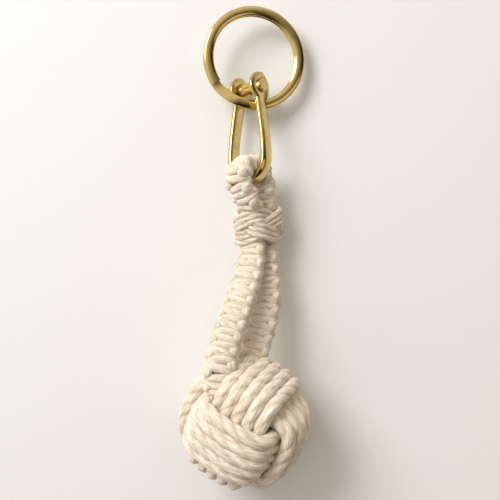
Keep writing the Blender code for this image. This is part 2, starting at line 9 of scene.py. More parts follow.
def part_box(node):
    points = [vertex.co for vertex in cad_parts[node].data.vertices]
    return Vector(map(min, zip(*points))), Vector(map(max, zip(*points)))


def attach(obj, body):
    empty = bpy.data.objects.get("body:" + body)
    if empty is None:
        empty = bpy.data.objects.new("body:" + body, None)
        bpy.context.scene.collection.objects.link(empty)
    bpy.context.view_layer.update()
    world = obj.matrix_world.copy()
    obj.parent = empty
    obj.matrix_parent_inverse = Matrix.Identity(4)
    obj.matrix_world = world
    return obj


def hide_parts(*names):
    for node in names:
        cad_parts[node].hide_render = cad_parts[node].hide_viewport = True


bl_info = {
    "name": "Monkey Fist Key Fob",
    "version": (1, 0, 0),
    "blender": (4, 5, 0),
    "location": "View3D > Sidebar > Key Fob",
    "description": "Winds a monkey fist key fob from twisted cotton cord and fits its brass shackle and ring",
    "category": "Object",
}

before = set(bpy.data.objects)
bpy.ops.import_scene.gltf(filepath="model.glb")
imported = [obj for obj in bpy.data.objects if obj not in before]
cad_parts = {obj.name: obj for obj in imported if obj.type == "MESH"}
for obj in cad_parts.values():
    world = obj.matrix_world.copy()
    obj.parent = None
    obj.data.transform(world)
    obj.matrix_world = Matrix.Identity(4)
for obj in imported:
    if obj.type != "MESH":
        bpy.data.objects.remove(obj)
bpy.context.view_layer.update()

MM = 0.001
FLOOR_REST = 0.03 * MM          # soft pieces are pressed flat this far above the floor

# The ball of the fist, as wound in the solid model
BALL_RADIUS = 9.2 * MM
BALL_CLEARANCE = 0.3 * MM
WINDING_CORD = 2.6 * MM         # the cord that sets the spacing of the turns
STRAND_GAP = 0.6 * MM
CROSSING_GAP = 1.2 * MM
TUCK_DEPTH = 1.2 * MM
TURNS = 5
LOOP_POINTS = 24
CORNER_SWELL = 1.3 * MM
CORNER_SHARPNESS = 3.4
BAND_CROWN = 0.77
CLIMB_SHARE = 0.11
FREE_END_SHARE = 0.08
FIST_PLACE = (-1.4 * MM, -47.3 * MM)
FIST_AXIS_A = (-0.42, -0.26, 0.87)
FIST_AXIS_B = (0.83, -0.49, 0.26)
TUCK_DIRECTIONS = ((-3.8, 9.2, 6.3), (-0.8, 9.2, 7.4), (1.5, 8.2, 7.5), (4.6, 7.3, 6.9),
                   (7.3, 4.3, 7.2), (7.8, 0.8, 8.1), (6.4, -3.3, 9.0))

# Shackle, in the bow's own axes: x along the pin, y towards the pin, z across the strip
STRIP_THICKNESS = 1.6 * MM
STRIP_WIDTH = 4.1 * MM
STRIP_SWELL = 0.35 * MM
BOW_LENGTH = 28.0 * MM
CROWN_HEIGHT = 6.5 * MM
EAR_GAP = 6.0 * MM
EAR_RADIUS = 4.15 * MM
ARM_FLARE = 1.49
STRAP_SIDE_PLAY = 1.3 * MM
BOW_PLACE = (-0.1 * MM, 19.1 * MM, 12.05 * MM)
BOW_TILT = (-13.8, -39.7, 9.0)
PIN_DIAMETER = 3.9 * MM
PIN_CLEARANCE = 0.3 * MM
PIN_PROUD = 0.9 * MM
HEAD_DIAMETER = 4.7 * MM
HEAD_THICKNESS = 1.6 * MM
HEAD_STANDOFF = 1.1 * MM
SLOT_WIDTH = 0.9 * MM
SLOT_DEPTH = 0.7 * MM
SLOT_TURN = 35.0
HEAD_ROUNDING = 0.35 * MM
HEAD_CHAMFER = 0.12 * MM
THREAD_RUN_IN = 1.4 * MM        # the thread starts this far before the ear that it screws into
THREAD_DEPTH = 0.16 * MM
THREAD_STEP = 0.045 * MM
THREADED = -1.0                 # stands for a radius that the thread sets
THREAD_END = 0.93               # share of the shank's radius where the thread ends
TIP_CHAMFER_LENGTH = 0.3 * MM
TIP_CHAMFER_DEPTH = 0.45 * MM
END_FACE = 0.3                  # share of its radius at which a flat end's first ring of points lies
PIN_SIDES = 72
EAR_STEP = 6                    # degrees between the points round an ear
CROWN_STEP = 3                  # degrees between the points round the crown
ARM_POINTS = 40
ARM_START = 1.03                # where the arm's points start below the pin, in ear radii
EAR_BLEND = 6                   # a higher power turns more sharply from the ear into the arm
SHARP_EDGE = 35.0               # degrees from which an edge of the shackle stays sharp

# Split ring
RING_DIAMETER = 29.9 * MM
RING_WIRE_WIDTH = 2.8 * MM
RING_WIRE_THICKNESS = 1.1 * MM
COIL_GAP = 0.3 * MM
RAMP_ANGLE = 34.0
RING_FROM_PIN = (2.566 * MM, 8.534 * MM, 0.838 * MM)
RING_TILT = (10.97, 54.5, 0.0)
RING_STEP_ANGLE = 234.5
RING_POINTS = 360
RING_SHARP_EDGE = 50.0

# Strap and keeper
STRAP_WIDTH = 8.2 * MM
STRAP_THICKNESS = 4.8 * MM
KNOT_PITCH = 3.9 * MM
KEEPER_SQUEEZE = 0.8
KEEPER_PRESS = 0.8
BOW_PLAY = 0.7 * MM
FOLD_TILT = 8.0
FOLD_SHIFT = 0.3 * MM
FOLD_STEPS = 6
LEG_LENGTH = 53.4 * MM

# Middle lines of the strap's legs. Below the keeper: across in mm, share of the leg's length below the
# keeper's middle, height in mm. Above the keeper: across, along and height in mm.
FRONT_BELOW = ((-8.3, 0.828, 24.5), (-8.1, 0.723, 26.2), (-7.1, 0.618, 24.3), (-5.05, 0.498, 21.0),
               (-2.6, 0.375, 17.2), (-1.0, 0.272, 14.3), (0.5, 0.169, 12.1))
FRONT_ABOVE = ((0.1, 11.7, 13.0), (-0.9, 14.4, 15.1))
BACK_BELOW = ((-0.1, 0.770, 15.5), (0.8, 0.678, 14.4), (1.6, 0.616, 13.5), (3.3, 0.513, 11.8),
              (4.6, 0.384, 9.6), (4.6, 0.277, 8.2), (4.5, 0.169, 7.0))
BACK_ABOVE = ((4.2, 11.7, 6.8), (4.4, 14.5, 7.4))
WIDTH_AT_FIST = (1.0, -0.1, 0.0)

# One bar of a square knot, from edge to edge over the face and then down the far edge over the
# other cord: shares of the reach, of the height and of a bar's pitch
KNOTTING_STEPS = ((-0.98, 0.05, -0.24), (-0.80, 0.66, -0.15), (-0.42, 0.98, -0.04), (0.0, 1.0, 0.0),
                  (0.42, 0.98, 0.04), (0.80, 0.66, 0.15), (0.98, 0.05, 0.24), (1.04, -0.55, 0.31),
                  (1.0, -1.0, 0.5), (1.04, -0.55, 0.69))
EDGE_ROOM = 0.2 * MM            # added to the strap's width for the loops at its edges
BAR_SINK = 0.22 * MM            # how far a bar presses into the filler cords
BAR_SHIFT = 0.12 * MM           # the most that a bar strays along the strap
BAR_LIFT = 0.06                 # the most that its height strays, as a share
BAR_SEED = 7
STRAP_LAY = 17 * MM
FILLER_LAY = 6 * MM
FILLER_ASIDE = 0.15 * MM        # half the gap between the filler cords
FILLER_POINTS = 400
FOLD_SHARE = 0.86               # how full the strap is from the keeper to its fold round the bow
KEEPER_PLACE = (2.45, 6.1, 8.9)
KEEPER_AXIS = (-0.07, 0.995, 0.08)
KEEPER_WIDTH_AXIS = (0.95, 0.0, 0.3)
LEG_SIDE_STEP = 2.46 * MM
LEG_GAP = 1.1 * MM
LEG_STRAIGHT = 3.9 * MM
LEAD_COUNT = 3
BIGHT_COUNT = 4
PASS_COUNT = 3                  # one more than in the solid, whose passes keep a gap between them
KEEPER_HALF_LENGTH = 3.1 * MM
KEEPER_ZIGZAG = 0.93            # 0 for a plain wave, 1 for straight runs with sharp turns
PASS_SPACING = 1.42 * MM
KEEPER_LIFT = 0.5 * MM
KEEPER_CROSSING = 1.5
KEEPER_POINTS = 60
KEEPER_RISE = 1.0 * MM          # the knot sits this far up the legs from the solid's middle
KEEPER_STRETCH = 0.38           # how much longer the runs are in front than on the average
KEEPER_FRONT = 1.2 * MM         # where they are longest, round the outline
PASS_CHANGE = 0.25              # radians each side of a pass's end in which the cord moves over
KEEPER_LAY = 13 * MM
KEEPER_CLEAR = 0.95 * MM        # from the legs to the keeper's middle layer
KEEPER_OFFSET = STRAP_THICKNESS / 2 * KEEPER_PRESS + KEEPER_CLEAR
KEEPER_EDGE = 0.8 * MM          # from the middle of the outermost pass to its edge
CORNER_POINTS = 24

# Unevenness of a twisted cord: the distance between its random values along the cord, and their strength
PLIES = 3
LAY_WANDER = 9 * MM
LAY_SWING = 0.7                 # radians
FATNESS_WANDER = 5 * MM
FATNESS_SWING = 0.03
YARN_WANDER = 3.2 * MM
YARN_COUNT = 20                 # random values round the cord
YARN_CREST = 0.35               # how far a yarn that stands out counts as a ply's crest
END_START = 0.08                # where a cord's rounded end starts, as a share of its radius
CROSSWISE = (0.3, 0.5, 0.8)     # a direction that no cord starts in

# Shares of the base colour in what varies it
WARM_COTTON = (0.93, 0.86, 0.74)
COOL_COTTON = (1.05, 1.07, 1.11)
DARK_WOOD = (0.55, 0.55, 0.55)
PALER_FLOOR = (1.04, 1.04, 1.04)

# Patterns in the materials: their waves in a metre, and how they are stretched along each axis
STAIN_SCALE = 110.0
PATCH_SCALE = 260.0
SCRATCH_SCALE = 900.0
DENT_SCALE = 2600.0
WOOD_SCALE = 900.0
FLOOR_SCALE = 700.0
HAIR_SCALE = 2.6                # times the scale of the yarns
YARN_STRETCH = (0.16, 1.0, 1.0)
HAIR_STRETCH = (0.12, 1.0, 1.0)
SCRATCH_STRETCH = (1.0, 9.0, 4.0)
WOOD_STRETCH = (1.0, 1.0, 0.12)

# Camera, as the photograph was taken
CAMERA_HEIGHT = 0.240
CAMERA_LENS = 57.8
SENSOR_WIDTH = 36.0
NEAREST_SEEN = 0.01

# Lamps, each with its place, width, power and colour
LAMPS = (("window_light", (-0.32, 0.30, 0.42), 0.30, 3.0, (0.98, 1.0, 1.03)),
         ("fill_light", (0.45, -0.10, 0.40), 0.40, 0.4, (1.0, 0.84, 0.66)))
LAMP_AIM = (0, 0, 0.01)
FLOOR_REACH = 2.0

# The room that the brass reflects: dark on one side, bright towards the window, even at the horizon
TOWARDS_WINDOW = (-0.7, 0.6)
ROOM_CHANGE = (-0.34, 0.16)     # how far towards the window it starts to brighten, and is bright
HORIZON_HEIGHT = (0.03, 0.2)    # how high the horizon's colour starts to fade, and is gone
DARK_SIDE = (0.04, 0.03, 0.02)
BRIGHT_SIDE = (1.32, 1.24, 1.14)
HORIZON_COLOUR = (0.88, 0.83, 0.77)
ROOM_STRENGTH = 0.65


def length_setting(name, description, default, least, most):
    """A length that a user may change, with its values in millimetres."""
    return bpy.props.FloatProperty(name=name, description=description, default=default * MM,
                                   min=least * MM, max=most * MM, unit="LENGTH", precision=5)


def colour_setting(name, description, default):
    """A colour that a user may change."""
    return bpy.props.FloatVectorProperty(name=name, description=description, default=default,
                                         size=3, min=0.0, max=1.0, subtype="COLOR")


class FobSizes(bpy.types.PropertyGroup):
    """Sizes of the cords and fittings that a user may change."""
    fist_cord: length_setting("Fist cord", "Diameter of the twisted cord of the fist", 3.9, 2.4, 4.1)
    fist_lay: length_setting("Fist cord lay", "Length in which a ply goes once round", 15, 6, 30)
    strap_cord: length_setting("Strap cord", "Diameter of the cords that tie the knots", 2.4, 1.2, 2.6)
    filler_cord: length_setting("Filler cord", "Diameter of the cords inside the strap", 1.6, 1.0, 2.0)
    keeper_cord: length_setting("Keeper cord", "Diameter of the keeper knot's cord", 1.65, 1.0, 2.2)
    thread_pitch: length_setting("Thread pitch", "Pitch of the thread on the pin", 0.7, 0.4, 1.2)


class FobColours(bpy.types.PropertyGroup):
    """Colours of the cotton, brass, wood and floor."""
    cotton: colour_setting("Cotton", "Unbleached cotton cord", (0.90, 0.79, 0.65))
    # Painted shade: this brown darkens the cotton between the plies and stands in for the shade that falls
    # there
    painted_ply_shade: colour_setting("Cotton in the folds", "Cotton between the plies", (0.58, 0.43, 0.28))
    brass: colour_setting("Brass", "Polished brass", (0.70, 0.53, 0.21))
    brass_dull: colour_setting("Dull brass", "Brass where it is handled less", (0.34, 0.23, 0.08))
    wood: colour_setting("Wood", "Turned ball inside the fist", (0.45, 0.28, 0.14))
    floor: colour_setting("Floor", "Pale floor under the fob", (0.80, 0.79, 0.77))


# Curves and directions

def unit(vector):
    vector = np.asarray(vector, float)
    return vector / np.linalg.norm(vector, axis=-1, keepdims=True)


def smooth_step(value):
    value = np.clip(value, 0.0, 1.0)
    return value * value * (3.0 - 2.0 * value)


def smooth_curve(points, steps=12):
    """A Catmull-Rom curve through the points, with its ends kept."""
    points = np.asarray(points, float)
    padded = np.vstack([2 * points[0] - points[1], points, 2 * points[-1] - points[-2]])
    share = (np.arange(steps) / steps)[:, None]
    spans = []
    for before, start, end, after in zip(padded, padded[1:], padded[2:], padded[3:]):
        spans.append(0.5 * (2 * start + (end - before) * share
                            + (2 * before - 5 * start + 4 * end - after) * share ** 2
                            + (3 * start - before - 3 * end + after) * share ** 3))
    return np.vstack(spans + [points[-1:]])


def arc_lengths(points):
    steps = np.linalg.norm(np.diff(points, axis=0), axis=1)
    return np.concatenate([[0.0], np.cumsum(steps)])


def sample(points, lengths, places):
    return np.stack([np.interp(places, lengths, points[:, k]) for k in range(points.shape[1])], axis=1)


def even_steps(points, step):
    lengths = arc_lengths(points)
    return sample(points, lengths, np.linspace(0, lengths[-1], round(lengths[-1] / step) + 1))


def softened(points, rounds):
    """Rounds off the route a little, with its ends kept."""
    points = points.copy()
    for _ in range(rounds):
        points[1:-1] = points[1:-1] / 2 + (points[:-2] + points[2:]) / 4
    return points


def carried_directions(route):
    """Tangent and two side directions at each point, carried along without twisting."""
    along = unit(np.gradient(route, axis=0))
    side = np.empty_like(route)
    side[0] = unit(np.cross(along[0], CROSSWISE))
    for k in range(1, len(route)):
        carried = side[k - 1] - np.dot(side[k - 1], along[k]) * along[k]
        side[k] = carried / math.sqrt(np.dot(carried, carried))
    return along, side, np.cross(along, side)


def wandering(places, angles, spacing, bins, seed):
    """Smooth random values from -1 to 1 over a cord's length and round it."""
    chance = np.random.RandomState(seed)
    rows = int(places[-1] / spacing) + 3
    table = chance.uniform(-1, 1, (rows, bins))
    down = places / spacing
    row = down.astype(int)
    part = smooth_step(down - row)[:, None]
    turn = angles / (2 * math.pi) % 1.0 * bins
    column = turn.astype(int) % bins
    share = smooth_step(turn - np.floor(turn))
    following = (column + 1) % bins
    row = row[:, None]
    near = table[row, column] * (1 - share) + table[row, following] * share
    far = table[row + 1, column] * (1 - share) + table[row + 1, following] * share
    return near * (1 - part) + far * part


# Meshes

def grid_faces(rows, count):
    """Quads of a tube with that many rows of points round it, and the fans that close its ends."""
    row, column = np.meshgrid(np.arange(rows - 1), np.arange(count), indexing="ij")
    following = (column + 1) % count
    quads = np.stack([row * count + column, row * count + following,
                      (row + 1) * count + following, (row + 1) * count + column], axis=-1)
    start, end = rows * count, rows * count + 1
    last = (rows - 1) * count
    fans = [(start, (k + 1) % count, k) for k in range(count)]
    fans += [(end, last + k, last + (k + 1) % count) for k in range(count)]
    return quads.reshape(-1, 4).tolist() + fans


def tube_mesh(name, rings):
    """A closed mesh through rings of points, an array of rows by points by three."""
    rows, count = rings.shape[:2]
    ends = np.stack([rings[0].mean(axis=0), rings[-1].mean(axis=0)])
    points = np.vstack([rings.reshape(-1, 3), ends])
    mesh = bpy.data.meshes.new(name)
    mesh.from_pydata(points.tolist(), [], grid_faces(rows, count))
    mesh.shade_smooth()
    return mesh


def store(mesh, name, values, kind="FLOAT"):
    """Keeps a value for each point of the mesh; the two end points take their neighbours' value."""
    values = np.asarray(values, np.float32)
    flat = values.reshape(-1, values.shape[-1]) if kind == "FLOAT_VECTOR" else values.reshape(-1)
    flat = np.concatenate([flat, flat[:1], flat[-1:]])
    layer = mesh.attributes.new(name, kind, "POINT")
    layer.data.foreach_set("vector" if kind == "FLOAT_VECTOR" else "value", flat.ravel())


def ply_outline(sides, depth):
    """Share of the full radius round a twisted cord, and how near each point is to a ply's crest."""
    angles = 2 * math.pi * np.arange(sides) / sides
    half = math.pi / PLIES
    from_crest = (angles + half) % (2 * half) - half
    middle = depth / (1 + math.sin(half) ** 2)
    round_part = 1 - middle
    shape = middle * np.cos(from_crest) + np.sqrt(round_part ** 2 - (middle * np.sin(from_crest)) ** 2)
    crest = (shape - shape.min()) / (shape.max() - shape.min())
    return angles, shape, crest


def cord_mesh(name, route, diameter, lay, seed, sides, depth, step=0.36 * MM, yarn=0.035):
    """A twisted cord along a route, with grooves that deep between its plies and uneven yarns."""
    route = even_steps(route, step)
    places = arc_lengths(route)
    along, side, up = carried_directions(route)
    angles, shape, crest = ply_outline(sides, depth)
    nowhere = np.zeros((len(places), 1))
    swing = wandering(places, nowhere, LAY_WANDER, 1, seed)[:, 0]
    twist = 2 * math.pi * places / lay + LAY_SWING * swing
    turned = angles[None, :] + twist[:, None]
    fat = 1 + FATNESS_SWING * wandering(places, nowhere, FATNESS_WANDER, 1, seed + 1)
    grain = wandering(places, turned, YARN_WANDER, YARN_COUNT, seed + 2)
    radius = diameter / 2 * shape[None, :] * fat * (1 + yarn * grain)
    taper = np.minimum(places, places[-1] - places) / (diameter / 2)
    taper = np.sqrt(1 - (1 - np.clip(taper, END_START, 1)) ** 2)
    radius = radius * taper[:, None]
    rings = (route[:, None, :] + radius[..., None] * (np.cos(turned)[..., None] * side[:, None, :]
                                                      + np.sin(turned)[..., None] * up[:, None, :]))
    rings[..., 2] = np.maximum(rings[..., 2], FLOOR_REST)
    mesh = tube_mesh(name, rings)
    half = diameter / 2 / MM
    fibre = np.stack([np.broadcast_to(places[:, None] / MM, turned.shape),
                      half * np.cos(turned), half * np.sin(turned)], axis=-1)
    store(mesh, "fibre", fibre, "FLOAT_VECTOR")
    # The crest value sets where the cotton gets its painted shade between the plies
    store(mesh, "crest", np.clip(crest[None, :] + YARN_CREST * grain, 0, 1))
    return mesh


def add_piece(name, mesh, body, material, slot, *replaced):
    """Puts a finished mesh into the scene, riding on its body."""
    piece = bpy.data.objects.new(name, mesh)
    bpy.context.scene.collection.objects.link(piece)
    mesh.materials.clear()
    mesh.materials.append(material)
    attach(piece, body)
    if replaced:
        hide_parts(*replaced)


def fob_shift():
    """How far the solid model was moved to stand on its origin, from where the ball is."""
    low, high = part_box("core_ball")
    return np.array([(low.x + high.x) / 2 - FIST_PLACE[0], (low.y + high.y) / 2 - FIST_PLACE[1], 0.0])


def fist_middle():
    low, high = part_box("core_ball")
    return np.array((low + high) / 2)


def bow_matrix():
    """From the bow's own axes to the fob's."""
    turn = Euler([math.radians(angle) for angle in BOW_TILT]).to_matrix().to_4x4()
    return Matrix.Translation(Vector(BOW_PLACE) + Vector(fob_shift())) @ turn


def transformed(matrix, points):
    points = np.asarray(points, float)
    turn = np.array(matrix.to_3x3())
    return points @ turn.T + np.array(matrix.translation)


# Materials

def shader_tree(name):
    """A new material, its node tree, its shader and where a point is in its piece's own axes."""
    material = bpy.data.materials.new(name)
    material.use_nodes = True
    tree = material.node_tree
    place = add_node(tree, "ShaderNodeTexCoord").outputs["Object"]
    return material, tree, tree.nodes["Principled BSDF"], place


def feed(tree, socket, value):
    """Links the socket to another node's output, or sets what is the same all over."""
    if isinstance(value, bpy.types.NodeSocket):
        tree.links.new(value, socket)
    else:
        socket.default_value = value


def set_inputs(tree, node, **values):
    """Feeds a node's inputs, by their names with _ for each space."""
    for key, value in values.items():
        feed(tree, node.inputs[key.replace("_", " ")], value)


def add_node(tree, kind, **inputs):
    node = tree.nodes.new(kind)
    set_inputs(tree, node, **inputs)
    return node


def stored(tree, name, output):
    """What was kept for each point of the mesh under that name."""
    node = add_node(tree, "ShaderNodeAttribute")
    node.attribute_name = name
    return node.outputs[output]


def stretched(tree, vector, scale):
    return add_node(tree, "ShaderNodeMapping", Vector=vector, Scale=scale).outputs["Vector"]


def noise(tree, vector, scale, detail, roughness):
    return add_node(tree, "ShaderNodeTexNoise", Vector=vector, Scale=scale, Detail=detail,
                    Roughness=roughness).outputs["Fac"]


def spread(tree, value, low, high, start=0.0, end=1.0):
    """Maps low to high onto start to end, clamped."""
    return add_node(tree, "ShaderNodeMapRange", Value=value, From_Min=low, From_Max=high, To_Min=start,
                    To_Max=end).outputs["Result"]


def opaque(shade):
    """A colour with its alpha, or another node's output as it is."""
    return shade if isinstance(shade, bpy.types.NodeSocket) else (*shade, 1.0)


def blend_colours(tree, share, first, second, kind="MIX"):
    node = tree.nodes.new("ShaderNodeMix")
    node.data_type = "RGBA"
    node.blend_type = kind
    for index, value in ((0, share), (6, opaque(first)), (7, opaque(second))):
        feed(tree, node.inputs[index], value)
    return node.outputs[2]


def calculate(tree, operation, *values):
    node = tree.nodes.new("ShaderNodeMath")
    node.operation = operation
    for socket, value in zip(node.inputs, values):
        feed(tree, socket, value)
    return node.outputs[0]


def tinted(base, shares):
    return [min(1.0, value * share) for value, share in zip(base, shares)]


def bump(tree, height, strength, distance):
    return add_node(tree, "ShaderNodeBump", Strength=strength, Distance=distance, Height=height
                    ).outputs["Normal"]


def cotton_material(name, colours, coarse, ply_shade_share):
    """Soft twisted cotton: pale crests, a painted warm brown shade between the plies, fibres along the cord.
    """
    material, tree, shader, place = shader_tree(name)
    fibre = stored(tree, "fibre", "Vector")
    crest = stored(tree, "crest", "Fac")
    yarns = noise(tree, stretched(tree, fibre, YARN_STRETCH), coarse, 3.0, 0.6)
    hairs = noise(tree, stretched(tree, fibre, HAIR_STRETCH), coarse * HAIR_SCALE, 3.0, 0.65)
    stains = noise(tree, place, STAIN_SCALE, 3.0, 0.55)
    pale = colours.cotton
    # Painted shade: away from the plies' crests the cotton turns towards the fold colour, by the given share
    body = blend_colours(tree, spread(tree, crest, 0.0, 0.75, 1 - ply_shade_share), colours.painted_ply_shade, pale)
    warm = tinted(pale, WARM_COTTON)
    body = blend_colours(tree, spread(tree, yarns, 0.42, 0.72, 0.0, 0.75), body, warm)
    cool = tinted(pale, COOL_COTTON)
    body = blend_colours(tree, spread(tree, stains, 0.45, 0.75, 0.0, 0.6), body, cool)
    shade = spread(tree, hairs, 0.34, 0.66, 0.72, 1.2)
    grey = add_node(tree, "ShaderNodeCombineColor", Red=shade, Green=shade, Blue=shade).outputs["Color"]
    body = blend_colours(tree, 1.0, body, grey, "MULTIPLY")
    height = calculate(tree, "ADD", yarns, calculate(tree, "MULTIPLY", hairs, 0.5))
    set_inputs(tree, shader, Base_Color=body, Normal=bump(tree, height, 1.0, 0.45 * MM), Roughness=0.92,
               Sheen_Weight=0.25, Sheen_Roughness=0.5, Specular_IOR_Level=0.2, Subsurface_Weight=0.2,
               Subsurface_Radius=(1.0, 0.62, 0.35), Subsurface_Scale=0.9 * MM)
    return material


def brass_material(name, colours, roughness):
    """Polished brass with faint scratches, duller patches and small dents."""
    material, tree, shader, place = shader_tree(name)
    patches = noise(tree, place, PATCH_SCALE, 4.0, 0.6)
    scratches = noise(tree, stretched(tree, place, SCRATCH_STRETCH), SCRATCH_SCALE, 4.0, 0.7)
    dents = noise(tree, place, DENT_SCALE, 3.0, 0.6)
    dull = spread(tree, patches, 0.48, 0.78, 0.0, 0.55)
    body = blend_colours(tree, dull, colours.brass, colours.brass_dull)
    rough = calculate(tree, "ADD", spread(tree, patches, 0.3, 0.8, roughness * 0.7, roughness * 1.5),
                      spread(tree, scratches, 0.55, 0.8, 0.0, 0.12))
    height = calculate(tree, "ADD", scratches, calculate(tree, "MULTIPLY", dents, 0.5))
    set_inputs(tree, shader, Base_Color=body, Normal=bump(tree, height, 0.25, 0.03 * MM), Roughness=rough,
               Metallic=1.0)
    return material


def wood_material(name, colours):
    material, tree, shader, place = shader_tree(name)
    grain = noise(tree, stretched(tree, place, WOOD_STRETCH), WOOD_SCALE, 4.0, 0.6)
    dark = tinted(colours.wood, DARK_WOOD)
    body = blend_colours(tree, spread(tree, grain, 0.35, 0.7), dark, colours.wood)
    set_inputs(tree, shader, Base_Color=body, Normal=bump(tree, grain, 0.3, 0.1 * MM), Roughness=0.6)
    return material


def floor_material(name, colours):
    material, tree, shader, place = shader_tree(name)
    grain = noise(tree, place, FLOOR_SCALE, 3.0, 0.6)
    body = blend_colours(tree, grain, colours.floor, tinted(colours.floor, PALER_FLOOR))
    set_inputs(tree, shader, Base_Color=body, Roughness=0.9, Specular_IOR_Level=0.2)
    return material


# Fist

def strand_radius(angle, offset):
    """Distance of a strand from the ball's middle, over at 0 and 180 degrees and under between."""
    inner = BALL_RADIUS + BALL_CLEARANCE + WINDING_CORD / 2 + TUCK_DEPTH
    outer = inner + WINDING_CORD + CROSSING_GAP
    turn = math.cos(2 * angle)
    share = math.tanh(CORNER_SHARPNESS * turn) / math.tanh(CORNER_SHARPNESS)
    radius = (outer + inner) / 2 + (outer - inner) / 2 * share + CORNER_SWELL * (1 - turn * turn)
    return math.sqrt(radius ** 2 - BAND_CROWN * offset ** 2)


def band_route(band, start_angle, sense, side):
    """One band's turns: over on the faces across its first axis, under on those of its second."""
    over, under, along = (np.eye(3)[(band + k) % 3] for k in range(3))
    pitch = WINDING_CORD + STRAND_GAP
    points = []
    for step in range(LOOP_POINTS * TURNS):
        turn = (step + 0.5) / LOOP_POINTS
        if not FREE_END_SHARE < turn < TURNS - FREE_END_SHARE:
            continue
        place = turn - round(turn)
        climb = smooth_step((place + CLIMB_SHARE) / (2 * CLIMB_SHARE)) - 1
        strand = min(max(round(turn) + climb, 0), TURNS - 1)
        offset = side * pitch * ((TURNS - 1) / 2 - strand)
        angle = math.radians(start_angle) + sense * 2 * math.pi * turn
        radius = strand_radius(angle, offset)
        points.append(radius * (math.cos(angle) * over + math.sin(angle) * under) + offset * along)
    return points


def tucked_route(corner, band):
    """The strand that dips under the corner between a band and the next one."""
    depth = BALL_RADIUS + BALL_CLEARANCE + WINDING_CORD / 2 + TUCK_DEPTH / 2
    return [np.roll(unit(direction), band) * corner * depth for direction in TUCK_DIRECTIONS]


def fist_route():
    """The whole cord in the ball's own axes, from its first free end to its last."""
    points = band_route(0, -90, -1, 1)
    points += tucked_route(np.array((-1, -1, -1)), 0)
    points += band_route(1, -90, 1, -1)
    points += tucked_route(np.array((1, 1, -1)), 1)
    points += band_route(2, 90, -1, 1)
    return np.array(points)


def fist_turn():
    first = Vector(FIST_AXIS_A).normalized()
    second = Vector(FIST_AXIS_B)
    second = (second - second.dot(first) * first).normalized()
    return Matrix((first, second, first.cross(second))).transposed()


# Strap

def fold_radius():
    return math.hypot(STRIP_WIDTH / 2, STRIP_THICKNESS / 2) + BOW_PLAY + STRAP_THICKNESS / 2


def keeper_frame():
    """The keeper's middle, its axis, and the strap's width and thickness directions there."""
    axis = unit(KEEPER_AXIS)
    width = unit(np.array(KEEPER_WIDTH_AXIS) - np.dot(KEEPER_WIDTH_AXIS, axis) * axis)
    return np.array(KEEPER_PLACE) * MM + fob_shift(), axis, width, np.cross(width, axis)


def legs_in_keeper(side):
    """Two points of one leg inside the keeper, side 1 for the front leg and -1 for the back one."""
    middle, axis, width, up = keeper_frame()
    stack = (STRAP_THICKNESS * KEEPER_PRESS + LEG_GAP) / 2
    centre = middle + side * (up * stack - width * LEG_SIDE_STEP / 2)
    return [centre - axis * LEG_STRAIGHT, centre + axis * LEG_STRAIGHT]


def leg_points(leg):
    """A leg's points below the keeper, from their share of the leg's length."""
    return [np.array((across * MM, KEEPER_PLACE[1] * MM - share * LEG_LENGTH, height * MM)) + fob_shift()
            for across, share, height in leg]


def fold_points():
    """Half a turn round the crown, from the front leg to the back one."""
    matrix = bow_matrix()
    tilt = math.radians(FOLD_TILT)
    turns = [math.pi * step / FOLD_STEPS - tilt for step in range(FOLD_STEPS + 1)]
    local = [(FOLD_SHIFT, fold_radius() * math.sin(turn), fold_radius() * math.cos(turn)) for turn in turns]
    return list(transformed(matrix, local))


def strap_route():
    """Middle line and width direction of the whole strap, from the fist and back to it."""
    below = [leg_points(FRONT_BELOW), leg_points(BACK_BELOW)]
    above = [np.array(points) * MM + fob_shift() for points in (FRONT_ABOVE, BACK_ABOVE)]
    fold = fold_points()
    points = np.vstack([below[0], legs_in_keeper(1), above[0], fold,
                        above[1][::-1], legs_in_keeper(-1)[::-1], below[1][::-1]])
    at_fist = unit(WIDTH_AT_FIST)
    at_keeper = keeper_frame()[2]
    at_fold = unit(np.array(bow_matrix().to_3x3() @ Vector((1, 0, 0))))

    def leg_widths(lower, upper):
        shares = [k / lower for k in range(lower)] + [1.0, 1.0]
        widths = [at_fist * (1 - share) + at_keeper * share for share in shares]
        return widths + [(at_keeper + at_fold) / 2] + [at_fold] * (upper - 1)

    front = leg_widths(len(below[0]), len(above[0]))
    back = leg_widths(len(below[1]), len(above[1]))
    widths = np.array(front + [at_fold] * len(fold) + back[::-1])
    return smooth_curve(points), smooth_curve(widths)


def squeeze(middles, least):
    """Share of the full width or thickness: the least inside the keeper, and more away from there."""
    place, axis = keeper_frame()[:2]
    distance = (middles - place) @ axis - KEEPER_RISE
    inside = KEEPER_HALF_LENGTH + PASS_SPACING + KEEPER_EDGE
    fullest = np.where(distance > 0, FOLD_SHARE, 1.0)
    share = smooth_step((np.abs(distance) - inside) / (2 * inside))
    return (least + (fullest - least) * share)[:, None]


def on_strap(line, widths, points):
    """Points given as across, up and along the strap, turned into places."""
    points = np.asarray(points, float)
    lengths = arc_lengths(line)
    small = KNOT_PITCH / 8
    places = np.clip(points[:, 2], 0, lengths[-1])
    middles = sample(line, lengths, places)
    ahead = unit(sample(line, lengths, places + small) - sample(line, lengths, places - small))
    middles = middles + ahead * (points[:, 2] - places)[:, None]
    across = sample(widths, lengths, places)
    across = unit(across - np.sum(across * ahead, axis=1, keepdims=True) * ahead)
    up = np.cross(across, ahead)
    return (middles + across * points[:, 0:1] * squeeze(middles, KEEPER_SQUEEZE)
            + up * points[:, 1:2] * squeeze(middles, KEEPER_PRESS))


